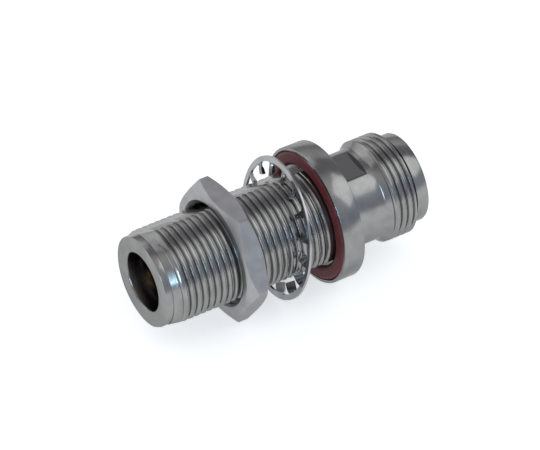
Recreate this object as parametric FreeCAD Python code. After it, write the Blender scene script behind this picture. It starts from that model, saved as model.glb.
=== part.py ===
import FreeCAD, Part
import math
import os

from FreeCAD import Vector

# Bulkhead adapter with a coaxial jack at each end, lying on its side.
# The axis runs along X, from the long threaded barrel towards the flange and the far jack.
# X is zero on the sealing rim of the flange. Z is up. Lengths are in millimetres.

# Outside of the body
thread_d = 15.875
barrel_length = 28.0
barrel_flats = 13.9
barrel_flat_turn_deg = -37.5
pilot_d = 13.8
near_pilot_length = 1.1
thread_lead_d = 14.4
near_lead_length = 1.6
flange_d = 21.3
flange_width = 3.5
flange_edge_break = 0.2
neck_d = 14.2
neck_length = 5.85
neck_cone_length = 1.15
wrench_flats = 13.0
wrench_flat_length = 5.1
jack_thread_length = 4.2
far_lead_length = 0.4
far_pilot_length = 2.45
end_edge_break = 0.2

# Mating face, the same at both ends
mouth_d = 9.3
mating_bore_d = 8.13
mating_depth = 9.1
line_bore_d = 7.0
socket_d = 3.04
socket_tip_depth = 4.1
socket_hole_d = 1.68
socket_hole_depth = 4.0
socket_slot_width = 0.35
socket_slot_length = 3.6
socket_slots = 4
socket_edge_break = 0.2

# Inside of the body
seat_gap = 0.02
bead_d = 10.4
bead_length = 3.0
bead_recess_depth = 0.5
bead_recess_inner_d = 4.2
bead_recess_outer_d = 6.6
near_stop_length = 3.5
bush_d = 11.2
bush_line_length = 3.45
spacer_bore_d = 5.52
stem_d = 2.4
stem_pin_d = 1.6
stem_pin_length = 3.0

# Sealing ring in the flange
groove_lip = 0.5
groove_d = flange_d - 2 * groove_lip
groove_depth = 1.6
gasket_crown = 0.15
gasket_round = 0.6
gasket_gap = 0.04

# Nut
nut_flats = 19.5
nut_thickness = 3.5
nut_station = 12.55
nut_face_inset = 0.35
nut_face_d = nut_flats - 2 * nut_face_inset
nut_chamfer_deg = 30.0
nut_running_gap = 0.05
nut_countersink = 0.4
nut_countersink_d = thread_d + 2 * nut_countersink

# Toothed lock washer
washer_overhang = 0.1
washer_d = flange_d + 2 * washer_overhang
washer_rim_width = 1.0
washer_thickness = 0.5
tooth_tip_gap = 0.36
washer_tip_d = thread_d + 2 * tooth_tip_gap
washer_station = 5.1
washer_tilt_deg = 10.0
washer_lean_deg = -29.0
tooth_count = 16
tooth_root_width = 2.1
tooth_tip_width = 1.9
tooth_twist_deg = 38.0
tooth_root_bury = 0.35
tooth_first_deg = -3.4

# Stations along the axis
near_face = -barrel_length
near_thread_start = near_face + near_pilot_length
flange_back = flange_width
neck_end = flange_back + neck_length
jack_thread_start = neck_end + neck_cone_length
jack_thread_end = jack_thread_start + jack_thread_length
far_face = jack_thread_end + far_pilot_length
near_plane = near_face + mating_depth
far_plane = far_face - mating_depth
near_bead_start = near_plane + near_stop_length
bush_inner_end = far_plane - bush_line_length
far_bead_start = bush_inner_end - bead_length

full_turn_deg = 360.0
half_turn_deg = 180.0
origin = Vector(0, 0, 0)
along = Vector(1, 0, 0)
up = Vector(0, 0, 1)


def turned(points):
    """Solid of revolution about the axis, from (station, radius) points."""
    corners = [Vector(station, 0, radius) for station, radius in points]
    outline = Part.makePolygon(corners + [corners[0]])
    return Part.Face(outline).revolve(origin, along, full_turn_deg)


def tube(start, end, outer_d, inner_d):
    """Plain ring between two stations."""
    outer = outer_d / 2
    inner = inner_d / 2
    return turned([(start, inner), (end, inner), (end, outer), (start, outer)])


def rod(start, end, diameter):
    """Plain cylinder on the axis between two stations."""
    return Part.makeCylinder(diameter / 2, end - start, Vector(start, 0, 0), along)


def slab(start, end, width_across, turn_deg):
    """Block on the axis with two faces a set width apart, turned about the axis."""
    reach = flange_d
    block = Part.makeBox(end - start, 2 * reach, width_across)
    block.translate(Vector(start, -reach, -width_across / 2))
    block.rotate(origin, along, turn_deg)
    return block


def mouth_cut(face, inward):
    """Space inside one mating end: coned mouth, then the bore down to the reference plane."""
    mouth = mouth_d / 2
    bore = mating_bore_d / 2
    cone_end = face + inward * (mouth - bore)
    plane = face + inward * mating_depth
    return turned([(face, 0), (face, mouth), (cone_end, bore), (plane, bore), (plane, 0)])


def make_barrel():
    """Threaded barrel, at the major diameter, with two opposite flats along it."""
    lead_end = near_thread_start + near_lead_length
    pilot = pilot_d / 2
    blank = turned(
        [
            (near_face, 0),
            (near_face, pilot - end_edge_break),
            (near_face + end_edge_break, pilot),
            (near_thread_start, pilot),
            (near_thread_start, thread_lead_d / 2),
            (lead_end, thread_d / 2),
            (groove_depth, thread_d / 2),
            (groove_depth, 0),
        ]
    )
    return blank.common(slab(near_face, groove_depth, barrel_flats, barrel_flat_turn_deg))


def make_head():
    """Flange, neck with its wrench flats, and the far jack."""
    rim = flange_d / 2
    neck = neck_d / 2
    major = thread_d / 2
    pilot = pilot_d / 2
    blank = turned(
        [
            (0, 0),
            (0, rim - flange_edge_break),
            (flange_edge_break, rim),
            (flange_back - flange_edge_break, rim),
            (flange_back, rim - flange_edge_break),
            (flange_back, neck),
            (neck_end, neck),
            (jack_thread_start, major),
            (jack_thread_end - far_lead_length, major),
            (jack_thread_end, thread_lead_d / 2),
            (jack_thread_end, pilot),
            (far_face - end_edge_break, pilot),
            (far_face, pilot - end_edge_break),
            (far_face, 0),
        ]
    )
    flat_end = flange_back + wrench_flat_length
    around = tube(flange_back, flat_end, neck_d * 2, wrench_flats / 2)
    waste = around.cut(slab(flange_back, flat_end, wrench_flats, 0))
    groove = rod(0, groove_depth, groove_d)
    return blank.cut(waste).cut(groove)


def make_adapter_body():
    """One turned piece, bored through in steps."""
    body = make_barrel().fuse(make_head()).removeSplitter()
    body = body.cut(mouth_cut(near_face, 1))
    body = body.cut(rod(near_plane, near_bead_start, line_bore_d))
    body = body.cut(rod(near_bead_start, bush_inner_end, bead_d))
    return body.cut(rod(bush_inner_end, far_face, bush_d))


def make_end_bush():
    """Pressed-in bush that forms the far mating end and holds the far bead."""
    outer = bush_d / 2 - seat_gap
    blank = turned(
        [
            (bush_inner_end, 0),
            (bush_inner_end, outer - end_edge_break),
            (bush_inner_end + end_edge_break, outer),
            (far_face, outer),
            (far_face, 0),
        ]
    )
    bush = blank.cut(mouth_cut(far_face, -1))
    return bush.cut(rod(bush_inner_end, far_plane, line_bore_d))


def make_bead(start, open_side):
    """Insulating bead on the contact stem, with a ring-shaped recess towards its open side."""
    end = start + bead_length
    bead = tube(start, end, bead_d - 2 * seat_gap, stem_d + 2 * seat_gap)
    recess_face = start if open_side < 0 else end
    recess_floor = recess_face - open_side * bead_recess_depth
    low = min(recess_face, recess_floor)
    high = max(recess_face, recess_floor)
    return bead.cut(tube(low, high, bead_recess_outer_d, bead_recess_inner_d))


def make_spacer():
    """Sleeve that keeps the two beads apart and carries the line between them."""
    start = near_bead_start + bead_length
    return tube(start, far_bead_start, bead_d - 2 * seat_gap, spacer_bore_d)


def make_socket(tip, root):
    """Slotted socket head, open at its tip."""
    toward_root = 1 if root > tip else -1
    radius = socket_d / 2
    hole = socket_hole_d / 2
    edge = tip + toward_root * socket_edge_break
    floor = tip + toward_root * socket_hole_depth
    head = turned(
        [
            (tip, hole + socket_edge_break),
            (tip, radius - socket_edge_break),
            (edge, radius),
            (root, radius),
            (root, 0),
            (floor, 0),
            (floor, hole),
            (edge, hole),
        ]
    )
    slot_end = tip + toward_root * socket_slot_length
    low = min(tip, slot_end)
    high = max(tip, slot_end)
    for number in range(socket_slots):
        slot = Part.makeBox(high - low, socket_slot_width, socket_d)
        slot.translate(Vector(low, -socket_slot_width / 2, 0))
        slot.rotate(origin, along, full_turn_deg * (number + 0.5) / socket_slots)
        head = head.cut(slot)
    return head


def make_near_contact():
    """Near socket with the long stem that passes through both beads."""
    tip = near_face + socket_tip_depth
    head = make_socket(tip, near_bead_start)
    stem = rod(near_bead_start, bush_inner_end, stem_d)
    pin = rod(bush_inner_end, bush_inner_end + stem_pin_length, stem_pin_d)
    return head.fuse(stem).fuse(pin).removeSplitter()


def make_far_contact():
    """Far socket, pressed over the pin of the near contact's stem."""
    tip = far_face - socket_tip_depth
    head = make_socket(tip, bush_inner_end)
    pin_hole_end = bush_inner_end + stem_pin_length + seat_gap
    return head.cut(rod(bush_inner_end, pin_hole_end, stem_pin_d + 2 * seat_gap))


def make_gasket():
    """Soft sealing ring, round along its exposed edges, seated in the flange groove."""
    inner = thread_d / 2 + gasket_gap
    outer = groove_d / 2 - gasket_gap
    crown = -gasket_crown
    shoulder = crown + gasket_round
    bend = gasket_round * (1 - math.sqrt(0.5))
    inner_foot = Vector(groove_depth, 0, inner)
    outer_foot = Vector(groove_depth, 0, outer)
    inner_side = Vector(shoulder, 0, inner)
    outer_side = Vector(shoulder, 0, outer)
    inner_top = Vector(crown, 0, inner + gasket_round)
    outer_top = Vector(crown, 0, outer - gasket_round)
    inner_bend = Vector(crown + bend, 0, inner + bend)
    outer_bend = Vector(crown + bend, 0, outer - bend)
    edges = [
        Part.makeLine(outer_foot, inner_foot),
        Part.makeLine(inner_foot, inner_side),
        Part.Arc(inner_side, inner_bend, inner_top).toShape(),
        Part.makeLine(inner_top, outer_top),
        Part.Arc(outer_top, outer_bend, outer_side).toShape(),
        Part.makeLine(outer_side, outer_foot),
    ]
    return Part.Face(Part.Wire(edges)).revolve(origin, along, full_turn_deg)


def make_hex_nut():
    """Hexagon nut, coned on both faces, lying on one flat."""
    flange_side = -nut_station
    free_side = flange_side - nut_thickness
    corner = nut_flats / 2 / math.cos(math.radians(half_turn_deg / 6))
    turn = math.radians(half_turn_deg / 6)
    corners = []
    for number in range(6):
        angle = turn + math.radians(full_turn_deg * number / 6)
        corners.append(Vector(free_side, corner * math.sin(angle), corner * math.cos(angle)))
    outline = Part.makePolygon(corners + [corners[0]])
    prism = Part.Face(outline).extrude(Vector(nut_thickness, 0, 0))
    face = nut_face_d / 2
    slope = (corner - face) * math.tan(math.radians(nut_chamfer_deg))
    cones = turned(
        [
            (free_side, 0),
            (free_side, face),
            (free_side + slope, corner),
            (flange_side - slope, corner),
            (flange_side, face),
            (flange_side, 0),
        ]
    )
    bore = thread_d / 2 + nut_running_gap
    sink = nut_countersink_d / 2
    sink_depth = sink - bore
    hole = turned(
        [
            (free_side, 0),
            (free_side, sink),
            (free_side + sink_depth, bore),
            (flange_side - sink_depth, bore),
            (flange_side, sink),
            (flange_side, 0),
        ]
    )
    return prism.common(cones).cut(hole)


def tooth_section(radius, width, twist_deg):
    """Rectangle across one washer tooth, turned about the tooth's own length."""
    half_width = width / 2
    half_thickness = washer_thickness / 2
    corners = [
        Vector(-half_thickness, -half_width, radius),
        Vector(half_thickness, -half_width, radius),
        Vector(half_thickness, half_width, radius),
        Vector(-half_thickness, half_width, radius),
    ]
    section = Part.makePolygon(corners + [corners[0]])
    section.rotate(Vector(0, 0, radius), up, twist_deg)
    return section


def make_lock_washer():
    """Thin ring with twisted teeth pointing inwards, leaning on the barrel."""
    rim_inner_d = washer_d - 2 * washer_rim_width
    washer = tube(-washer_thickness / 2, washer_thickness / 2, washer_d, rim_inner_d)
    root = tooth_section(rim_inner_d / 2 + tooth_root_bury, tooth_root_width, 0)
    collar = tooth_section(rim_inner_d / 2, tooth_root_width, 0)
    tip = tooth_section(washer_tip_d / 2, tooth_tip_width, tooth_twist_deg)
    twisted = Part.makeLoft([collar, tip], True, True)
    foot = Part.makeLoft([root, collar], True, True)
    tooth = foot.fuse(twisted)
    teeth = []
    for number in range(tooth_count):
        copy = tooth.copy()
        copy.rotate(origin, along, tooth_first_deg + full_turn_deg * number / tooth_count)
        teeth.append(copy)
    washer = washer.fuse(teeth).removeSplitter()
    lean = math.radians(washer_lean_deg)
    tilt_axis = Vector(0, math.cos(lean), math.sin(lean))
    washer.rotate(origin, tilt_axis, washer_tilt_deg)
    washer.translate(Vector(-washer_station, 0, 0))
    return washer


parts = {
    "adapter_body": make_adapter_body(),
    "end_bush": make_end_bush(),
    "near_bead": make_bead(near_bead_start, -1),
    "far_bead": make_bead(far_bead_start, 1),
    "spacer_sleeve": make_spacer(),
    "near_contact": make_near_contact(),
    "far_contact": make_far_contact(),
    "gasket": make_gasket(),
    "lock_washer": make_lock_washer(),
    "hex_nut": make_hex_nut(),
}

os.makedirs("parts", exist_ok=True)
for name, shape in parts.items():
    shape.exportStep(os.path.join("parts", name + ".step"))
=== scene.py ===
import math

import bmesh
import bpy
from bpy.props import FloatProperty, FloatVectorProperty, IntProperty, PointerProperty
from mathutils import Matrix, Vector


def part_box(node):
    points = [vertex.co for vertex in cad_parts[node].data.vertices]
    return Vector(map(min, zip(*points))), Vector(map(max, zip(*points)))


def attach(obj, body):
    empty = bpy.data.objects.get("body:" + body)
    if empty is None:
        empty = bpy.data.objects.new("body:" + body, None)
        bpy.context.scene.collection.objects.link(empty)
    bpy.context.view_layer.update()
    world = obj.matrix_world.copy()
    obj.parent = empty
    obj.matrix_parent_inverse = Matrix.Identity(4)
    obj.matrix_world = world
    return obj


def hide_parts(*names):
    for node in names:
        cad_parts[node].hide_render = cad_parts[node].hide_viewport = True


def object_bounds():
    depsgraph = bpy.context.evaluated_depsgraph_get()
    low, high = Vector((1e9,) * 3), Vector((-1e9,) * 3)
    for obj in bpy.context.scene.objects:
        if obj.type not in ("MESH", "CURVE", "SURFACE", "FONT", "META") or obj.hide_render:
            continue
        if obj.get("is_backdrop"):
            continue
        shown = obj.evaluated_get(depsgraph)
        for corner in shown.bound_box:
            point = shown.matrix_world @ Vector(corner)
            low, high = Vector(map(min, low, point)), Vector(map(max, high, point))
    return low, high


bl_info = {
    "name": "Coaxial Bulkhead Adapter",
    "version": (1, 0, 0),
    "blender": (4, 5, 0),
    "location": "3D View > Sidebar > Adapter",
    "description": "Builds a threaded coaxial bulkhead adapter around its solid model",
    "category": "Add Mesh",
}

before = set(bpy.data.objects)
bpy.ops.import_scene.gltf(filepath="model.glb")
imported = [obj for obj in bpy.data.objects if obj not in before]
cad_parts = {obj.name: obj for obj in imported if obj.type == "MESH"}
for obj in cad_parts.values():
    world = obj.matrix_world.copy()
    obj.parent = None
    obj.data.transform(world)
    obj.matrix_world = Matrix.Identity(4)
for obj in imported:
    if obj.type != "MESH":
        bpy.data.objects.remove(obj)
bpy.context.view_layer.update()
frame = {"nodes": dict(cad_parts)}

FULL_TURN = 2.0 * math.pi

# Points closer than this become one, and an edge sharper than this stays crisp
MERGE_DISTANCE = 0.000001
SHARP_EDGE = math.radians(28.0)

# Break on small edges
SMALL_BREAK = 0.00006

# How far the turned core runs into a threaded piece that is joined to it
CORE_OVERLAP = 0.0002

# How far a tool that cuts or trims a piece runs past it
OVERRUN = 0.001

# Keeps the plain end's flats just below the barrel's, so that no two faces share a plane
FLAT_INSET = 0.00001

# How far the outline that trims a thread stands off its crests
CREST_MARGIN = 0.00006

# Curve from the neck into the jack's cone: distance past the neck, and rise above it
CORE_CURVE = ((0.0004, 0.00012), (0.0008, 0.0004))
JACK_CURVE = ((-0.0002, -0.00015), (0.0003, 0.00012), (0.0007, 0.00045))

# Steps along a washer's tooth: distance inward from the rim's inner edge, share of the way from the
# root's width to the tip's, share of the sheet's thickness, and share of the twist
TOOTH_STEPS = (
    (-0.00035, 0.0, 0.98, 0.0),
    (0.0, 0.0, 1.0, 0.0),
    (0.0002, 0.0, 1.0, 0.3),
    (0.00045, 0.0, 1.0, 0.65),
    (0.0009, 0.5, 1.0, 0.92),
)

# Share of its shine that metal keeps where it is seen at a low angle
EDGE_TINT = 0.6

# Painted shade for the bore and a painted dark reflection for the wrench flats: colours that darken
# these surfaces in place of light
BORE_PAINTED_SHADE = (0.165, 0.15, 0.145, 1.0)
FLAT_PAINTED_REFLECTION = (0.15, 0.148, 0.15, 1.0)

# How far such painted darkening reaches past its surface, and the width over which the bore's
# painted shade ends
TONE_MARGIN = 0.00002
TONE_EDGE = 0.0001

# Stretch of a texture that has no direction
EVEN = (1.0, 1.0, 1.0)

# Brightness of the surroundings by angle from overhead, in degrees towards the front
SKY_BANDS = (
    (-92.0, (0.27, 0.27, 0.28)),
    (-75.0, (0.48, 0.48, 0.50)),
    (-60.0, (0.68, 0.68, 0.71)),
    (-45.0, (0.80, 0.80, 0.84)),
    (-38.0, (0.34, 0.34, 0.37)),
    (-10.0, (0.28, 0.28, 0.31)),
    (2.0, (0.62, 0.62, 0.64)),
    (14.0, (0.74, 0.76, 0.78)),
    (34.0, (0.64, 0.65, 0.68)),
    (50.0, (0.55, 0.59, 0.66)),
    (75.0, (0.47, 0.51, 0.62)),
    (92.0, (0.55, 0.58, 0.63)),
)
HORIZON = (0.86, 0.86, 0.86, 1.0)

# Heights on the unit sphere between which the horizon gives way to the bands
HORIZON_EDGE = (0.04, 0.09)

# Each lamp's name, place, size, power in watts and colour
LAMPS = (
    ("softbox", (0.69, -0.44, 0.95), (0.9, 0.9), 2.5, (0.96, 0.99, 1.0)),
    ("side_softbox", (-0.5, 0.9, 0.8), (1.6, 1.6), 4.0, (1.0, 1.0, 1.0)),
    ("blue_window", (-0.42, -0.79, 0.45), (0.14, 0.45), 2.3, (0.5, 0.77, 1.0)),
)


# Sizes and colours that a user may change


def length_setting(name, default, description):
    """A length in metres, shown to the micrometre."""
    return FloatProperty(
        name=name, description=description, default=default,
        unit="LENGTH", subtype="DISTANCE", precision=6)


def angle_setting(name, degrees, description):
    """An angle whose default is given in degrees."""
    return FloatProperty(
        name=name, description=description, default=math.radians(degrees),
        unit="ROTATION", subtype="ANGLE")


def colour_setting(name, default, description):
    """A colour as shares of red, green and blue."""
    return FloatVectorProperty(
        name=name, description=description, default=default,
        size=3, subtype="COLOR", min=0.0, max=1.0)


def place_setting(name, default, description):
    """A point in metres."""
    return FloatVectorProperty(
        name=name, description=description, default=default,
        size=3, unit="LENGTH", subtype="TRANSLATION", precision=6)


class ThreadSizes(bpy.types.PropertyGroup):
    """Sizes shared by the outside threads and the nut"""

    pitch: length_setting("Pitch", 0.0010583, "Advance of the thread in one turn")
    crest_radius: length_setting("Crest Radius", 0.0079375, "Radius over the thread's crests")
    groove_depth: length_setting("Groove Depth", 0.00036, "Depth of the groove below the crests")
    groove_width: length_setting("Groove Width", 0.00056, "Width of the groove at the crests")
    root_width: length_setting("Root Width", 0.0001, "Width of the groove at its bottom")
    crest_break: length_setting("Crest Break", 0.00004, "Small break along each crest's edge")
    running_gap: length_setting(
        "Running Gap", 0.00005, "Radial gap between the nut's thread and the barrel's")
    first_groove: length_setting(
        "First Groove", 0.00206, "Distance from the near face to the barrel's first groove")
    first_jack_groove: length_setting(
        "First Jack Groove", 0.03938, "Distance from the near face to the far jack's first groove")
    columns: IntProperty(
        name="Columns", description="Steps around one turn",
        default=144, min=24)


class BodySizes(bpy.types.PropertyGroup):
    """Sizes of the turned body"""

    near_pilot_radius: length_setting(
        "Near Pilot Radius", 0.00705, "Radius of the plain end before the barrel's thread")
    near_pilot_length: length_setting(
        "Near Pilot Length", 0.0011, "Length of the plain end before the barrel's thread")
    near_lead_length: length_setting(
        "Near Lead Length", 0.0016, "Length over which the barrel rises to its crests")
    far_pilot_radius: length_setting(
        "Far Pilot Radius", 0.0069, "Radius of the plain end of the far jack")
    barrel_half_flats: length_setting(
        "Barrel Half Flats", 0.00695, "Distance from the axis to each barrel flat")
    barrel_flat_turn: angle_setting(
        "Barrel Flat Turn", -37.5, "Turn of the barrel's flats from upright")
    flange_radius: length_setting("Flange Radius", 0.01065, "Radius of the flange")
    flange_width: length_setting("Flange Width", 0.0035, "Width of the flange along the axis")
    flange_bevel: length_setting("Flange Edge", 0.0002, "Break along the flange's edges")
    ring_groove_radius: length_setting(
        "Ring Groove Radius", 0.01015, "Outer radius of the sealing ring's groove")
    ring_groove_depth: length_setting(
        "Ring Groove Depth", 0.0016, "Depth of the sealing ring's groove")
    collar_radius: length_setting(
        "Collar Radius", 0.00793, "Radius of the collar inside the sealing ring")
    collar_drop: length_setting(
        "Collar Drop", 0.00035, "Distance from the flange's rim down to the collar's face")
    neck_radius: length_setting("Neck Radius", 0.0071, "Radius of the neck behind the flange")
    neck_length: length_setting("Neck Length", 0.00585, "Length of the neck behind the flange")
    neck_cone_length: length_setting(
        "Neck Cone Length", 0.00115, "Length of the rise from the neck to the jack's thread")
    wrench_flat_length: length_setting(
        "Wrench Flat Length", 0.0051, "Length of the neck's wrench flats")
    jack_thread_length: length_setting(
        "Jack Thread Length", 0.0042, "Length of the far jack's thread")
    jack_lead_length: length_setting(
        "Jack Lead Length", 0.0004, "Length of the bevel at the end of the jack's thread")
    jack_lead_radius: length_setting(
        "Jack Lead Radius", 0.0072, "Radius at the small end of that bevel")
    relief_length: length_setting(
        "Relief Length", 0.0004, "Length of the groove behind the jack's thread")
    core_radius: length_setting("Core Radius", 0.0064, "Radius of the plain core below the threads")
    neck_half_flats: length_setting(
        "Neck Half Flats", 0.0065, "Distance from the axis to each wrench flat")
    mouth_radius: length_setting("Mouth Radius", 0.0045, "Radius of the near jack's wider mouth")
    mouth_depth: length_setting("Mouth Depth", 0.004, "Length of the wider mouth")
    mouth_break: length_setting("Mouth Edge", 0.00015, "Break around the mouth's edge")
    mating_radius: length_setting(
        "Mating Bore Radius", 0.004065, "Radius of the bore that a plug enters")
    line_radius: length_setting(
        "Line Bore Radius", 0.0035, "Radius of the bore behind the mating bore")
    bead_bore_radius: length_setting(
        "Bead Bore Radius", 0.0052, "Radius of the bore that holds the beads")
    bush_bore_radius: length_setting(
        "Bush Bore Radius", 0.0056, "Radius of the bore that holds the bush")
    mating_depth: length_setting("Mating Depth", 0.0091, "Depth of the near mating bore")
    bead_depth: length_setting(
        "Bead Depth", 0.0126, "Distance from the near face to the beads' bore")
    bush_depth: length_setting("Bush Depth", 0.01255, "Depth of the bush's bore from the far face")


class NutSizes(bpy.types.PropertyGroup):
    """Sizes of the panel nut"""

    half_flats: length_setting("Half Flats", 0.00975, "Distance from the axis to each flat")
    face_radius: length_setting("Face Radius", 0.0094, "Radius of the flat ring left on each face")
    cone_angle: angle_setting("Cone Angle", 30.0, "Slope of the cones that cut the corners")
    countersink_radius: length_setting(
        "Countersink Radius", 0.00834, "Radius of the countersink on each face")


class WasherSizes(bpy.types.PropertyGroup):
    """Sizes and place of the toothed lock washer"""

    radius: length_setting("Washer Radius", 0.01075, "Outer radius of the washer")
    rim_width: length_setting("Rim Width", 0.00085, "Width of the ring that carries the teeth")
    thickness: length_setting("Thickness", 0.0004, "Thickness of the sheet")
    tip_radius: length_setting("Tip Radius", 0.0082, "Radius of the teeth's tips")
    teeth: IntProperty(
        name="Teeth", description="Number of teeth",
        default=16, min=3)
    root_width: length_setting("Root Width", 0.0014, "Width of a tooth where it leaves the rim")
    tip_width: length_setting("Tip Width", 0.00135, "Width of a tooth at its tip")
    twist: angle_setting("Twist", -48.0, "Turn of each tooth's tip about the tooth's own length")
    first_tooth: angle_setting("First Tooth", -5.0, "Angle of the first tooth from upright")
    station: length_setting(
        "Station", 0.00516, "Distance of the washer's middle from the flange's rim")
    tilt: angle_setting("Tilt", 10.6, "Lean of the loose washer out of square")
    lean: angle_setting("Lean", -32.4, "Turn of the tilt's axis about the adapter")


class Finish(bpy.types.PropertyGroup):
    """Colours of the adapter's materials"""

    body_colour: colour_setting("Body Metal", (0.28, 0.276, 0.27), "Colour of the turned body")
    nut_colour: colour_setting("Nut Metal", (0.40, 0.398, 0.40), "Colour of the panel nut")
    washer_colour: colour_setting(
        "Washer Metal", (0.40, 0.40, 0.41), "Colour of the toothed washer")
    ring_colour: colour_setting(
        "Sealing Ring", (0.13, 0.012, 0.016), "Colour of the rubber sealing ring")
    bead_colour: colour_setting(
        "Insulating Bead", (0.80, 0.80, 0.78), "Colour of the insulating beads")
    contact_colour: colour_setting(
        "Contact Plating", (0.83, 0.60, 0.25), "Colour of the plated contacts")


class StageSizes(bpy.types.PropertyGroup):
    """Camera, floor and light"""

    camera_place: place_setting(
        "Camera Place", (-0.287667, -0.438796, 0.467485), "Where the camera stands")
    camera_aim: place_setting(
        "Camera Aim", (-0.004972, 0.002032, -0.001088), "Point that the camera looks at")
    camera_roll: angle_setting("Camera Roll", 1.118, "Turn of the camera about its own view line")
    lens: FloatProperty(
        name="Lens", description="Focal length on a 36 mm sensor",
        default=319.13, unit="CAMERA", min=1.0)
    floor_size: length_setting("Floor Size", 6.0, "Width of the floor")
    floor_glow: FloatProperty(
        name="Floor Glow",
        description="White added to the floor where the camera, a mirror or glass sees it",
        default=0.5, min=0.0)
    floor_colour: colour_setting("Floor Colour", (0.86, 0.85, 0.83), "Colour of the floor")


# Mesh helpers


def new_piece(name, vertices, faces):
    """A mesh object with outward normals, linked to the scene."""
    mesh = bpy.data.meshes.new(name)
    mesh.from_pydata(vertices, [], faces)
    work = bmesh.new()
    work.from_mesh(mesh)
    bmesh.ops.recalc_face_normals(work, faces=work.faces)
    work.to_mesh(mesh)
    work.free()
    piece = bpy.data.objects.new(name, mesh)
    bpy.context.scene.collection.objects.link(piece)
    return piece


def ring_point(station, radius, angle):
    """Point at an angle from upright, turning from +Z towards -Y."""
    return (station, -radius * math.sin(angle), radius * math.cos(angle))


def band(low, high, count):
    """Faces between two loops of points, from the number of each loop's first point."""
    faces = []
    for column in range(count):
        after = (column + 1) % count
        faces.append((low + column, low + after, high + after, high + column))
    return faces


def skin(name, loops, closed=False):
    """Mesh over loops of points, either closed into a ring or capped at both ends."""
    count = len(loops[0])
    last = (len(loops) - 1) * count
    faces = []
    for low in range(0, last, count):
        faces += band(low, low + count, count)
    if closed:
        faces += band(last, 0, count)
    else:
        faces += [tuple(range(count)), tuple(range(last, last + count))]
    return new_piece(name, [point for loop in loops for point in loop], faces)


def lathe(name, rings, angles, closed=False):
    """Skin over rings, each of which gives its own point for an angle."""
    return skin(name, [[ring(angle) for angle in angles] for ring in rings], closed)


def even_angles(count):
    """Angles spread evenly around one turn."""
    return [FULL_TURN * step / count for step in range(count)]


def round_ring(station, radius):
    """Ring of a round bar."""
    return lambda angle: ring_point(station, radius, angle)


def flatted_ring(station, radius, half_flats, turn):
    """Ring of a round bar with two opposite flats."""

    def point(angle):
        across = abs(math.cos(angle - turn))
        reach = radius if across * radius <= half_flats else half_flats / across
        return ring_point(station, reach, angle)

    return point


def flatted_angles(radius, half_flats, turn, arc_steps):
    """Angles of a ring with two flats, with a point exactly on every flat's edge."""
    edge = math.acos(half_flats / radius)
    angles = []
    for side in (0.0, math.pi):
        start = turn + side + edge
        sweep = math.pi - 2.0 * edge
        angles += [start + sweep * step / arc_steps for step in range(arc_steps + 1)]
    return angles


def combine(piece, tool, operation):
    """Joins, cuts or keeps what two closed meshes share, and deletes the tool."""
    modifier = piece.modifiers.new("combine", "BOOLEAN")
    modifier.operation = operation
    modifier.solver = "EXACT"
    modifier.object = tool
    graph = bpy.context.evaluated_depsgraph_get()
    result = bpy.data.meshes.new_from_object(piece.evaluated_get(graph))
    piece.modifiers.remove(modifier)
    old = piece.data
    piece.data = result
    result.name = old.name
    bpy.data.meshes.remove(old)
    spent = tool.data
    bpy.data.objects.remove(tool)
    bpy.data.meshes.remove(spent)
    return piece


def tidy_mesh(piece, merge=MERGE_DISTANCE):
    """Merges near-equal points, drops faces with no area and marks the sharp edges."""
    work = bmesh.new()
    work.from_mesh(piece.data)
    bmesh.ops.remove_doubles(work, verts=work.verts, dist=merge)
    bmesh.ops.dissolve_degenerate(work, dist=merge, edges=work.edges)
    bmesh.ops.recalc_face_normals(work, faces=work.faces)
    work.to_mesh(piece.data)
    work.free()
    for polygon in piece.data.polygons:
        polygon.use_smooth = True
    piece.data.set_sharp_from_angle(angle=SHARP_EDGE)


def threaded_rod(name, sizes, start, end, outward, first_groove, fade):
    """Closed bar with a right-hand thread, one groove of which passes first_groove.

    The fade gives the station where the grooves begin, the length over which they deepen and
    run out again, and the station where they end.
    """
    fade_start, fade_length, fade_end = fade
    pitch = sizes.pitch
    columns = sizes.columns
    crest = sizes.crest_radius + outward
    half_groove = sizes.groove_width / 2.0
    half_root = sizes.root_width / 2.0
    bevel = sizes.crest_break
    profile = [
        (-half_groove - bevel, 0.0),
        (-half_groove, bevel / 2.0),
        (-half_root, sizes.groove_depth),
        (half_root, sizes.groove_depth),
        (half_groove, bevel / 2.0),
        (half_groove + bevel, 0.0),
    ]
    steps = len(profile)
    turns_before = math.ceil((first_groove - start) / pitch) + 1
    turns_after = math.ceil((end - first_groove) / pitch) + 1
    base = first_groove - turns_before * pitch
    rows = (turns_before + turns_after) * steps
    vertices = []
    for row in range(rows + 1):
        turn, step = divmod(row, steps)
        offset, depth = profile[step]
        for column in range(columns):
            share = column / columns
            station = base + pitch * (turn + share) + offset
            strength = min(max((station - fade_start) / fade_length, 0.0), 1.0)
            strength *= min(max((fade_end - station) / fade_length, 0.0), 1.0)
            vertices.append(ring_point(station, crest - depth * strength, FULL_TURN * share))
    faces = []
    for row in range(rows):
        here = row * columns
        above = here + columns
        for column in range(columns - 1):
            faces.append((here + column, here + column + 1, above + column + 1, above + column))
        if row + steps < rows:
            last = columns - 1
            turned = here + steps * columns
            faces.append((here + last, turned, turned + columns, above + last))
    first_loop = list(range(columns)) + [step * columns for step in range(steps, 0, -1)]
    top = rows * columns
    last_loop = [top + column for column in range(columns)]
    last_loop += [top - step * columns + columns - 1 for step in range(1, steps + 1)]
    last_station = base + pitch * (rows // steps + 1)
    for loop, station in ((first_loop, base - pitch), (last_loop, last_station)):
        centre = len(vertices)
        vertices.append((station, 0.0, 0.0))
        for place, corner in enumerate(loop):
            faces.append((corner, loop[(place + 1) % len(loop)], centre))
    return new_piece(name, vertices, faces)


# Materials


def new_material(name):
    """A node material with only its shader and output."""
    material = bpy.data.materials.new(name)
    material.use_nodes = True
    tree = material.node_tree
    return material, tree.nodes, tree.links, tree.nodes["Principled BSDF"]


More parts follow.
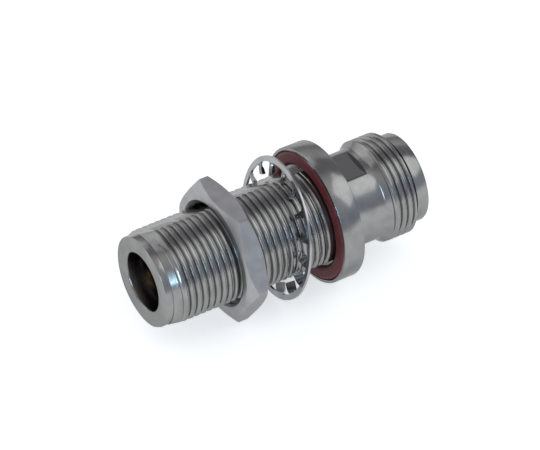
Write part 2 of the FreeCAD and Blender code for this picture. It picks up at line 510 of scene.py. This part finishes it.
def compute(nodes, links, operation, *values):
    """Math node over sockets and plain numbers."""
    node = nodes.new("ShaderNodeMath")
    node.operation = operation
    for socket, value in zip(node.inputs, values):
        if isinstance(value, bpy.types.NodeSocket):
            links.new(value, socket)
        else:
            socket.default_value = value
    return node.outputs[0]


def blend_colours(nodes, links, share, low, high):
    """Mix of two colours, each a socket or plain numbers, by a share from 0 to 1."""
    node = nodes.new("ShaderNodeMix")
    node.data_type = "RGBA"
    links.new(share, node.inputs["Factor"])
    for socket, colour in ((node.inputs["A"], low), (node.inputs["B"], high)):
        if isinstance(colour, bpy.types.NodeSocket):
            links.new(colour, socket)
        else:
            socket.default_value = colour
    return node.outputs["Result"]


def step_up(nodes, links, value, low, high):
    """Zero below low, one above high, and a straight rise between them."""
    node = nodes.new("ShaderNodeMapRange")
    node.inputs["From Min"].default_value = low
    node.inputs["From Max"].default_value = high
    links.new(value, node.inputs["Value"])
    return node.outputs["Result"]


def split_vector(nodes, links, vector):
    """The X, Y and Z of a vector."""
    node = nodes.new("ShaderNodeSeparateXYZ")
    links.new(vector, node.inputs[0])
    return node.outputs


def plain_coordinates(nodes):
    """Texture coordinates in the object's own frame."""
    return nodes.new("ShaderNodeTexCoord").outputs["Object"]


def lathe_coordinates(nodes, links, place):
    """Texture coordinates of a turned surface: along the axis, out from it, and around it."""
    x, y, z = split_vector(nodes, links, place)
    square = compute(nodes, links, "MULTIPLY_ADD", z, z, compute(nodes, links, "MULTIPLY", y, y))
    joined = nodes.new("ShaderNodeCombineXYZ")
    links.new(x, joined.inputs["X"])
    links.new(compute(nodes, links, "SQRT", square), joined.inputs["Y"])
    links.new(compute(nodes, links, "ARCTAN2", y, z), joined.inputs["Z"])
    return joined.outputs[0]


def stretched_noise(nodes, links, vector, stretch, scale, detail):
    """Noise on coordinates stretched by a factor along each of them."""
    mapping = nodes.new("ShaderNodeMapping")
    mapping.inputs["Scale"].default_value = stretch
    links.new(vector, mapping.inputs["Vector"])
    noise = nodes.new("ShaderNodeTexNoise")
    noise.inputs["Scale"].default_value = scale
    noise.inputs["Detail"].default_value = detail
    links.new(mapping.outputs["Vector"], noise.inputs["Vector"])
    return noise.outputs["Fac"]


def ramp(nodes, links, source, stops):
    """Colour ramp over a value, from (place, colour) stops."""
    node = nodes.new("ShaderNodeValToRGB")
    elements = node.color_ramp.elements
    while len(elements) < len(stops):
        elements.new(0.5)
    for element, (place, colour) in zip(elements, stops):
        element.position = place
        element.color = (*colour, 1.0)
    links.new(source, node.inputs["Fac"])
    return node.outputs["Color"]


def shade(colour, factor):
    """A colour made darker or lighter."""
    return tuple(min(channel * factor, 1.0) for channel in colour)


def grey(value):
    """A neutral colour."""
    return (value, value, value)


def mottle(nodes, links, place, colour, scale, detail, stops):
    """Soft blotches of a colour, from (place on the ramp, brightness) stops."""
    blotch = stretched_noise(nodes, links, place, EVEN, scale, detail)
    return ramp(nodes, links, blotch, [(stop, shade(colour, factor)) for stop, factor in stops])


def surface(nodes, links, shader, tone, grain, roughness, strength, distance):
    """Gives a shader its colour, and one grain that sets both its gloss and its bump."""
    links.new(tone, shader.inputs["Base Color"])
    low, high = roughness
    gloss = ramp(nodes, links, grain, [(0.3, grey(low)), (0.7, grey(high))])
    links.new(gloss, shader.inputs["Roughness"])
    bump = nodes.new("ShaderNodeBump")
    bump.inputs["Strength"].default_value = strength
    bump.inputs["Distance"].default_value = distance
    links.new(grain, bump.inputs["Height"])
    links.new(bump.outputs["Normal"], shader.inputs["Normal"])


def make_metal(shader):
    """Turns a shader into metal that is less bright where it is seen at a low angle."""
    shader.inputs["Metallic"].default_value = 1.0
    shader.inputs["Specular Tint"].default_value = (*grey(EDGE_TINT), 1.0)


def paint_bore_shade(nodes, links, lathe_place, tone, bore_radius):
    """Paints shade on a turned surface inside a radius: the bore is darkened where little light
    reaches into it.
    """
    radius = split_vector(nodes, links, lathe_place)["Y"]
    outside = step_up(nodes, links, radius, bore_radius, bore_radius + TONE_EDGE)
    return blend_colours(nodes, links, outside, BORE_PAINTED_SHADE, tone)


def paint_flat_reflection(nodes, links, place, tone, flats):
    """Paints a dark reflection on two milled flats of a turned piece, found from their height and
    their two ends.
    """
    height, start, end = flats
    x, _, z = split_vector(nodes, links, place)
    level = compute(
        nodes, links, "COMPARE", compute(nodes, links, "ABSOLUTE", z), height, TONE_MARGIN)
    run = compute(nodes, links, "COMPARE", x, (start + end) / 2.0, (end - start) / 2.0)
    flat = compute(nodes, links, "MULTIPLY", level, run)
    return blend_colours(nodes, links, flat, tone, FLAT_PAINTED_REFLECTION)


def turned_metal(name, colour, roughness, bore_radius=0.0, flats=None):
    """Lathe-turned metal: fine marks around the axis, soft blotches and a changing gloss, with
    painted shade in a bore and a painted dark reflection on flats, where these are given.
    """
    material, nodes, links, shader = new_material(name)
    place = plain_coordinates(nodes)
    lathe_place = lathe_coordinates(nodes, links, place)
    stops = [(0.3, 0.82), (0.55, 1.0), (0.8, 1.1)]
    tone = mottle(nodes, links, place, colour, scale=420.0, detail=5.0, stops=stops)
    # Painted shade inside the bore
    if bore_radius > 0.0:
        tone = paint_bore_shade(nodes, links, lathe_place, tone, bore_radius)
    # Painted dark reflection on the flats
    if flats:
        tone = paint_flat_reflection(nodes, links, place, tone, flats)
    marks = stretched_noise(
        nodes, links, lathe_place, stretch=(12000.0, 12000.0, 1.2), scale=1.0, detail=3.0)
    surface(nodes, links, shader, tone, marks, roughness, strength=0.25, distance=0.00001)
    make_metal(shader)
    return material


def milled_metal(name, colour, roughness):
    """Milled metal with crossing fine scratches, for flats and stamped sheet."""
    material, nodes, links, shader = new_material(name)
    place = plain_coordinates(nodes)
    stops = [(0.3, 0.84), (0.6, 1.0), (0.85, 1.1)]
    tone = mottle(nodes, links, place, colour, scale=500.0, detail=6.0, stops=stops)
    scratch = stretched_noise(
        nodes, links, place, stretch=(14000.0, 900.0, 900.0), scale=1.0, detail=4.0)
    surface(nodes, links, shader, tone, scratch, roughness, strength=0.2, distance=0.00001)
    make_metal(shader)
    return material


def rubber(name, colour):
    """Moulded silicone rubber with a fine skin and a little dust."""
    material, nodes, links, shader = new_material(name)
    place = plain_coordinates(nodes)
    stops = [(0.3, 0.75), (0.6, 1.0), (0.85, 1.25)]
    tone = mottle(nodes, links, place, colour, scale=900.0, detail=6.0, stops=stops)
    grain = stretched_noise(nodes, links, place, EVEN, scale=9000.0, detail=3.0)
    surface(nodes, links, shader, tone, grain, (0.5, 0.7), strength=0.25, distance=0.00002)
    return material


def bead_plastic(name, colour):
    """Waxy white insulating plastic with faint turning marks."""
    material, nodes, links, shader = new_material(name)
    place = plain_coordinates(nodes)
    stops = [(0.3, 0.94), (0.7, 1.0)]
    tone = mottle(nodes, links, place, colour, scale=700.0, detail=4.0, stops=stops)
    lathe_place = lathe_coordinates(nodes, links, place)
    marks = stretched_noise(
        nodes, links, lathe_place, stretch=(9000.0, 9000.0, 1.0), scale=1.0, detail=2.0)
    surface(nodes, links, shader, tone, marks, (0.38, 0.55), strength=0.15, distance=0.00001)
    return material


def dress(piece, material):
    """Gives a piece one material."""
    piece.data.materials.clear()
    piece.data.materials.append(material)
    return piece


# Pieces


def body_stations(body):
    """Stations of the near face, near step, neck's end, jack thread's ends and far face."""
    near_face, far_face = (corner.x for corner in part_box("adapter_body"))
    neck_end = body.flange_width + body.neck_length
    thread_start = neck_end + body.neck_cone_length
    thread_end = thread_start + body.jack_thread_length
    near_step = near_face + body.near_pilot_length
    return near_face, near_step, neck_end, thread_start, thread_end, far_face


def turn_body(threads, body):
    """The hollow turned body before its threads: along its outside, then back through its bore."""
    near_face, near_step, neck_end, thread_start, thread_end, far_face = body_stations(body)
    near_break = 0.00008
    end_break = 0.0002
    groove_break = 0.00005
    mouth_cone_length = 0.0005
    pilot = body.near_pilot_radius
    below_thread = pilot - CORE_OVERLAP
    mouth_break = body.mouth_break
    rim = body.flange_radius
    bevel = body.flange_bevel
    wide = body.flange_width
    neck = body.neck_radius
    flat_end = wide + body.wrench_flat_length
    relief_end = thread_end + body.relief_length
    bush_start = far_face - body.bush_depth
    bead_start = near_face + body.bead_depth
    near_plane = near_face + body.mating_depth
    pilot_flats = (body.barrel_half_flats - FLAT_INSET, body.barrel_flat_turn)
    wrench_flats = (body.neck_half_flats, 0.0)
    rings = [
        round_ring(near_face + mouth_break * 2.0, body.mouth_radius),
        round_ring(near_face + mouth_break * 0.5, body.mouth_radius + mouth_break * 0.6),
        round_ring(near_face, body.mouth_radius + mouth_break),
        flatted_ring(near_face, pilot - near_break, *pilot_flats),
        flatted_ring(near_face + near_break * 0.3, pilot - near_break * 0.3, *pilot_flats),
        flatted_ring(near_face + near_break, pilot, *pilot_flats),
        flatted_ring(near_step + CORE_OVERLAP, pilot, *pilot_flats),
        round_ring(near_step + CORE_OVERLAP, below_thread),
        round_ring(body.collar_drop, below_thread),
        round_ring(body.collar_drop, body.collar_radius - SMALL_BREAK),
        round_ring(body.collar_drop + SMALL_BREAK, body.collar_radius),
        round_ring(body.ring_groove_depth, body.collar_radius),
        round_ring(body.ring_groove_depth, body.ring_groove_radius),
        round_ring(groove_break, body.ring_groove_radius),
        round_ring(0.0, body.ring_groove_radius + groove_break),
        round_ring(0.0, rim - bevel),
        round_ring(bevel * 0.3, rim - bevel * 0.3),
        round_ring(bevel, rim),
        round_ring(wide - bevel, rim),
        round_ring(wide - bevel * 0.3, rim - bevel * 0.3),
        round_ring(wide, rim - bevel),
        flatted_ring(wide, neck, *wrench_flats),
        flatted_ring(flat_end, neck, *wrench_flats),
        round_ring(flat_end, neck),
        round_ring(neck_end, neck),
        *(round_ring(neck_end + past, neck + rise) for past, rise in CORE_CURVE),
        round_ring(thread_start, body.core_radius),
        round_ring(relief_end, body.core_radius),
        round_ring(relief_end, body.far_pilot_radius),
        round_ring(far_face - end_break * 1.5, body.far_pilot_radius),
        round_ring(far_face - end_break * 0.5, body.far_pilot_radius - end_break * 0.5),
        round_ring(far_face, body.far_pilot_radius - end_break * 1.5),
        round_ring(far_face, body.bush_bore_radius),
        round_ring(bush_start, body.bush_bore_radius),
        round_ring(bush_start, body.bead_bore_radius),
        round_ring(bead_start, body.bead_bore_radius),
        round_ring(bead_start, body.line_radius),
        round_ring(near_plane, body.line_radius),
        round_ring(near_plane, body.mating_radius),
        round_ring(near_face + body.mouth_depth + mouth_cone_length, body.mating_radius),
        round_ring(near_face + body.mouth_depth, body.mouth_radius),
    ]
    corners = flatted_angles(neck, *wrench_flats, 1) + flatted_angles(pilot, *pilot_flats, 1)
    angles = set(even_angles(threads.columns)) | {angle % FULL_TURN for angle in corners}
    shell = lathe("body_shell", rings, sorted(angles), closed=True)
    tidy_mesh(shell, MERGE_DISTANCE / 2.0)
    return shell


def hollow_thread(name, rod, start, end, radius, columns):
    """Takes the middle out of a threaded rod, so that only its thread is joined on."""
    middle = lathe(name, [round_ring(start, radius), round_ring(end, radius)], even_angles(columns))
    return combine(rod, middle, "DIFFERENCE")


def barrel_envelope(threads, body, start, end):
    """Outline that trims the barrel's thread: a rising lead, then the crests, with two flats."""
    lead_radius = body.near_pilot_radius + 0.00008
    rise = (threads.crest_radius - lead_radius) / body.near_lead_length
    outside = threads.crest_radius + CREST_MARGIN
    lead_end = start + body.near_lead_length + CREST_MARGIN / rise
    flats = (body.barrel_half_flats, body.barrel_flat_turn)
    loops = []
    for station, radius in ((start, lead_radius), (lead_end, outside), (end, outside)):
        angles = flatted_angles(radius, *flats, threads.columns // 2)
        loops.append([ring_point(station, radius, angle) for angle in angles])
    return skin("barrel_envelope", loops)


def cut_barrel(threads, body):
    """The barrel's thread, trimmed by its lead and its two flats."""
    near_face, near_step = body_stations(body)[:2]
    end = body.collar_drop + 0.0003
    fade_start = near_face + 0.0014
    fade_length = 0.0005
    fade = (fade_start, fade_length, -fade_length)
    barrel = threaded_rod(
        "barrel_thread", threads, near_step, end, 0.0, near_face + threads.first_groove, fade)
    combine(barrel, barrel_envelope(threads, body, near_step, end), "INTERSECT")
    return hollow_thread(
        "barrel_core", barrel, near_step - OVERRUN, end + 2.0 * OVERRUN,
        body.core_radius, threads.columns)


def cut_jack(threads, body):
    """The far jack's thread, with the curve from the neck before it and a bevel at its end."""
    near_face, _, neck_end, thread_start, thread_end, _ = body_stations(body)
    fade_start = near_face + 0.038
    fade_length = 0.0008
    fade = (fade_start, fade_length, thread_end + 2.0 * OVERRUN)
    jack = threaded_rod(
        "jack_thread", threads, thread_start - 2.0 * OVERRUN, thread_end, 0.0,
        near_face + threads.first_jack_groove, fade)
    outside = threads.crest_radius + CREST_MARGIN
    rise_length = 0.00008
    rings = [round_ring(neck_end + past, body.neck_radius + rise) for past, rise in JACK_CURVE]
    rings += [
        round_ring(thread_start + rise_length, outside),
        round_ring(thread_end - body.jack_lead_length - CREST_MARGIN / 2.0, outside),
        round_ring(thread_end, body.jack_lead_radius),
    ]
    combine(jack, lathe("jack_envelope", rings, even_angles(threads.columns)), "INTERSECT")
    return hollow_thread(
        "jack_core", jack, neck_end - 2.0 * OVERRUN, thread_end + 2.0 * OVERRUN,
        body.core_radius - CORE_OVERLAP / 2.0, threads.columns)


def build_body(context):
    """The turned body with both threads cut."""
    threads = context.scene.adapter_threads
    body = context.scene.adapter_body
    shell = turn_body(threads, body)
    combine(shell, cut_barrel(threads, body), "UNION")
    combine(shell, cut_jack(threads, body), "UNION")
    tidy_mesh(shell)
    return shell


def nut_groove(threads):
    """Station of a groove of the barrel's thread, one that lies inside the nut."""
    near_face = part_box("adapter_body")[0].x
    nut_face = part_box("hex_nut")[0].x
    first = near_face + threads.first_groove
    return first + round((nut_face - first) / threads.pitch) * threads.pitch


def hexagon(half_flats):
    """Reach and angle of the corners of a hexagon, each corner slightly rounded."""
    half_side = math.pi / 6.0
    corner = half_flats / math.cos(half_side)
    corner_round = 0.00025
    spread = corner_round * 0.9 / corner
    outline = []
    for side in range(6):
        angle = half_side + side * 2.0 * half_side
        for lean in (-spread, 0.0, spread):
            reach = corner if lean else corner - corner_round * 0.14
            outline.append((min(reach, half_flats / math.cos(half_side - abs(lean))), angle + lean))
    return outline


def build_nut(context):
    """The panel nut with coned corners and a cut thread."""
    threads = context.scene.adapter_threads
    nut = context.scene.adapter_nut
    low, high = (corner.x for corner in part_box("hex_nut"))
    margin = 0.0005
    outline = hexagon(nut.half_flats)
    piece = skin("panel_nut", [
        [ring_point(station, *corner) for corner in outline]
        for station in (low - margin, high + margin)])

    angles = even_angles(threads.columns)
    outside = nut.half_flats / math.cos(math.pi / 6.0) + margin
    slope = (outside - nut.face_radius) * math.tan(nut.cone_angle)
    half_break = SMALL_BREAK / 2.0
    cones = [
        round_ring(low, nut.face_radius - SMALL_BREAK),
        round_ring(low + half_break, nut.face_radius + half_break),
        round_ring(low + slope, outside),
        round_ring(high - slope, outside),
        round_ring(high - half_break, nut.face_radius + half_break),
        round_ring(high, nut.face_radius - SMALL_BREAK),
    ]
    combine(piece, lathe("nut_cones", cones, angles), "INTERSECT")
    cutter = threaded_rod(
        "nut_thread", threads, low - OVERRUN, high + OVERRUN, threads.running_gap,
        nut_groove(threads), (low - 10.0 * OVERRUN, OVERRUN, high + 10.0 * OVERRUN))
    combine(piece, cutter, "DIFFERENCE")
    outer = nut.countersink_radius
    depth = outer - threads.crest_radius - threads.running_gap + margin
    for face, inward in ((low, 1.0), (high, -1.0)):
        rings = [
            round_ring(face - inward * 0.0001, outer + 0.0001),
            round_ring(face + inward * depth, outer - depth),
        ]
        combine(piece, lathe("nut_sink", rings, angles), "DIFFERENCE")
    tidy_mesh(piece)
    return piece


def tooth_ring(radius, width, thickness, twist):
    """Four corners across one tooth, turned about the tooth's own length."""
    corners = []
    for side_x, side_y in ((-1.0, -1.0), (1.0, -1.0), (1.0, 1.0), (-1.0, 1.0)):
        x, y = side_x * thickness / 2.0, side_y * width / 2.0
        corners.append(Vector((
            x * math.cos(twist) - y * math.sin(twist),
            x * math.sin(twist) + y * math.cos(twist),
            radius)))
    return corners


def washer_teeth(sizes, inner):
    """All the washer's teeth, each flat at its root and twisted at its tip."""
    steps = [*TOOTH_STEPS, (inner - sizes.tip_radius, 1.0, 1.0, 1.0)]
    sections = []
    for inward, narrowing, thickness, twist in steps:
        width = sizes.root_width + (sizes.tip_width - sizes.root_width) * narrowing
        sections.append(tooth_ring(
            inner - inward, width, sizes.thickness * thickness, sizes.twist * twist))
    vertices = []
    faces = []
    for number in range(sizes.teeth):
        turn = Matrix.Rotation(sizes.first_tooth + FULL_TURN * number / sizes.teeth, 3, "X")
        base = len(vertices)
        vertices += [turn @ corner for section in sections for corner in section]
        last = len(vertices) - 4
        for low in range(base, last, 4):
            faces += band(low, low + 4, 4)
        faces += [tuple(range(base, base + 4)), tuple(range(last, last + 4))]
    return new_piece("washer_teeth", vertices, faces)


def build_washer(context):
    """The toothed washer: a thin rim with twisted teeth, leaning on the barrel."""
    sizes = context.scene.adapter_washer
    half = sizes.thickness / 2.0
    inner = sizes.radius - sizes.rim_width
    rings = [
        round_ring(-half, sizes.radius - SMALL_BREAK),
        round_ring(-half + SMALL_BREAK, sizes.radius),
        round_ring(half - SMALL_BREAK, sizes.radius),
        round_ring(half, sizes.radius - SMALL_BREAK),
        round_ring(half, inner),
        round_ring(-half, inner),
    ]
    angles = even_angles(context.scene.adapter_threads.columns)
    rim = lathe("toothed_washer", rings, angles, closed=True)
    combine(rim, washer_teeth(sizes, inner), "UNION")
    tidy_mesh(rim)
    tilt_axis = Vector((0.0, math.cos(sizes.lean), math.sin(sizes.lean)))
    place = Matrix.Translation((-sizes.station, 0.0, 0.0))
    rim.data.transform(place @ Matrix.Rotation(sizes.tilt, 4, tilt_axis))
    return rim


class ADAPTER_OT_body(bpy.types.Operator):
    """Build the turned body with its threads"""

    bl_idname = "adapter.body"
    bl_label = "Turned Body"

    def execute(self, context):
        finish = context.scene.adapter_finish
        body = context.scene.adapter_body
        shell = build_body(context)
        # The wrench flats get a painted dark reflection
        flats = (
            body.neck_half_flats, body.flange_width, body.flange_width + body.wrench_flat_length)
        # Inside the mouth's radius the bore gets painted shade
        bore = body.mouth_radius + TONE_MARGIN
        metal = turned_metal("turned_body_metal", finish.body_colour, (0.13, 0.26), bore, flats)
        dress(shell, metal)
        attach(shell, "adapter")
        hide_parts("adapter_body")
        return {"FINISHED"}


class ADAPTER_OT_nut(bpy.types.Operator):
    """Build the panel nut"""

    bl_idname = "adapter.nut"
    bl_label = "Panel Nut"

    def execute(self, context):
        finish = context.scene.adapter_finish
        piece = build_nut(context)
        dress(piece, milled_metal("nut_metal", finish.nut_colour, (0.32, 0.46)))
        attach(piece, "nut")
        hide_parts("hex_nut")
        return {"FINISHED"}


class ADAPTER_OT_inside(bpy.types.Operator):
    """Finish the bush, beads, sleeve and contacts"""

    bl_idname = "adapter.inside"
    bl_label = "Bush, Beads and Contacts"

    def execute(self, context):
        finish = context.scene.adapter_finish
        nodes = frame["nodes"]
        bush = turned_metal("bush_metal", finish.body_colour, (0.26, 0.4))
        bead = bead_plastic("bead_plastic", finish.bead_colour)
        plating = turned_metal("contact_plating", finish.contact_colour, (0.18, 0.3))
        sleeve = turned_metal("sleeve_metal", finish.contact_colour, (0.3, 0.45))
        finishes = {
            "end_bush": bush, "near_bead": bead, "far_bead": bead,
            "spacer_sleeve": sleeve, "near_contact": plating, "far_contact": plating,
        }
        for name, material in finishes.items():
            dress(nodes[name], material)
        return {"FINISHED"}


class ADAPTER_OT_ring(bpy.types.Operator):
    """Finish the rubber sealing ring"""

    bl_idname = "adapter.ring"
    bl_label = "Sealing Ring"

    def execute(self, context):
        finish = context.scene.adapter_finish
        dress(frame["nodes"]["gasket"], rubber("ring_rubber", finish.ring_colour))
        return {"FINISHED"}


class ADAPTER_OT_washer(bpy.types.Operator):
    """Build the toothed lock washer"""

    bl_idname = "adapter.washer"
    bl_label = "Toothed Washer"

    def execute(self, context):
        finish = context.scene.adapter_finish
        piece = build_washer(context)
        dress(piece, milled_metal("washer_metal", finish.washer_colour, (0.14, 0.26)))
        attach(piece, "washer")
        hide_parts("lock_washer")
        return {"FINISHED"}


def add_lamp(name, place, size, power, colour):
    """A soft rectangular lamp aimed at the frame's origin."""
    light = bpy.data.lights.new(name, "AREA")
    light.shape = "RECTANGLE"
    light.size, light.size_y = size
    light.energy = power
    light.color = colour
    lamp = bpy.data.objects.new(name, light)
    lamp.location = place
    lamp.rotation_euler = (-Vector(place)).to_track_quat("-Z", "Y").to_euler()
    bpy.context.scene.collection.objects.link(lamp)


def seen_rays(nodes, links):
    """One where a ray comes from the camera, a mirror or glass, and zero elsewhere."""
    path = nodes.new("ShaderNodeLightPath").outputs
    either = compute(nodes, links, "MAXIMUM", path["Is Camera Ray"], path["Is Glossy Ray"])
    return compute(nodes, links, "MAXIMUM", either, path["Is Transmission Ray"])


def studio_world(context):
    """Soft surroundings, in bands that run along the adapter, over a pale horizon."""
    world = bpy.data.worlds.new("studio")
    world.use_nodes = True
    context.scene.world = world
    nodes, links = world.node_tree.nodes, world.node_tree.links
    _, y, z = split_vector(nodes, links, nodes.new("ShaderNodeTexCoord").outputs["Generated"])
    around = compute(nodes, links, "ARCTAN2", y, z)
    share = compute(nodes, links, "MULTIPLY_ADD", around, -1.0 / FULL_TURN, 0.5)
    stops = [(0.5 + angle / 360.0, colour) for angle, colour in SKY_BANDS]
    bands = ramp(nodes, links, share, stops)
    raised = step_up(nodes, links, compute(nodes, links, "ABSOLUTE", z), *HORIZON_EDGE)
    sky = blend_colours(nodes, links, raised, HORIZON, bands)
    links.new(sky, nodes["Background"].inputs["Color"])


def lay_floor(stage):
    """Pale floor that shows white to the camera and in reflections, and keeps its shadow."""
    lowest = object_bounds()[0][2]
    half = stage.floor_size / 2.0
    corners = [
        (-half, -half, lowest), (half, -half, lowest), (half, half, lowest), (-half, half, lowest)]
    floor = new_piece("floor", corners, [(0, 1, 2, 3)])
    material, nodes, links, shader = new_material("pale_floor")
    shader.inputs["Base Color"].default_value = (*stage.floor_colour, 1.0)
    shader.inputs["Roughness"].default_value = 0.9
    glow = nodes.new("ShaderNodeEmission")
    seen = seen_rays(nodes, links)
    links.new(compute(nodes, links, "MULTIPLY", seen, stage.floor_glow), glow.inputs["Strength"])
    both = nodes.new("ShaderNodeAddShader")
    links.new(shader.outputs[0], both.inputs[0])
    links.new(glow.outputs[0], both.inputs[1])
    links.new(both.outputs[0], nodes["Material Output"].inputs["Surface"])
    dress(floor, material)
    floor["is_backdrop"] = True


def place_camera(context, stage):
    """Camera where the photograph was taken from."""
    camera = bpy.data.cameras.new("photo_camera")
    camera.lens = stage.lens
    camera.sensor_width = 36.0
    holder = bpy.data.objects.new("photo_camera", camera)
    view = Vector(stage.camera_aim) - Vector(stage.camera_place)
    turn = view.to_track_quat("-Z", "Y").to_matrix().to_4x4()
    roll = Matrix.Rotation(stage.camera_roll, 4, "Z")
    holder.matrix_world = Matrix.Translation(stage.camera_place) @ turn @ roll
    context.scene.collection.objects.link(holder)
    context.scene.camera = holder


class ADAPTER_OT_stage(bpy.types.Operator):
    """Set the floor, the lamps and the camera"""

    bl_idname = "adapter.stage"
    bl_label = "Floor, Lamps and Camera"

    def execute(self, context):
        stage = context.scene.adapter_stage
        lay_floor(stage)
        studio_world(context)
        for lamp in LAMPS:
            add_lamp(*lamp)
        place_camera(context, stage)
        context.scene.view_settings.view_transform = "Standard"
        return {"FINISHED"}


class ADAPTER_PT_panel(bpy.types.Panel):
    """Lists the adapter's pieces"""

    bl_label = "Coaxial Adapter"
    bl_idname = "ADAPTER_PT_panel"
    bl_space_type = "VIEW_3D"
    bl_region_type = "UI"
    bl_category = "Adapter"

    def draw(self, context):
        layout = self.layout
        for operator in OPERATORS:
            layout.operator(operator.bl_idname)
        for group in GROUPS:
            box = layout.box()
            settings = getattr(context.scene, group)
            for key in settings.__annotations__:
                box.prop(settings, key)


GROUPS = {
    "adapter_threads": ThreadSizes,
    "adapter_body": BodySizes,
    "adapter_nut": NutSizes,
    "adapter_washer": WasherSizes,
    "adapter_finish": Finish,
    "adapter_stage": StageSizes,
}
OPERATORS = (
    ADAPTER_OT_body,
    ADAPTER_OT_nut,
    ADAPTER_OT_inside,
    ADAPTER_OT_ring,
    ADAPTER_OT_washer,
    ADAPTER_OT_stage,
)


def register():
    for group in GROUPS.values():
        bpy.utils.register_class(group)
    for name, group in GROUPS.items():
        setattr(bpy.types.Scene, name, PointerProperty(type=group))
    for operator in OPERATORS:
        bpy.utils.register_class(operator)
    bpy.utils.register_class(ADAPTER_PT_panel)


def unregister():
    bpy.utils.unregister_class(ADAPTER_PT_panel)
    for operator in reversed(OPERATORS):
        bpy.utils.unregister_class(operator)
    for name, group in reversed(GROUPS.items()):
        delattr(bpy.types.Scene, name)
        bpy.utils.unregister_class(group)


def main():
    register()
    bpy.ops.adapter.body()
    bpy.ops.adapter.nut()
    bpy.ops.adapter.inside()
    bpy.ops.adapter.ring()
    bpy.ops.adapter.washer()
    bpy.ops.adapter.stage()


if __name__ == "__main__":
    main()
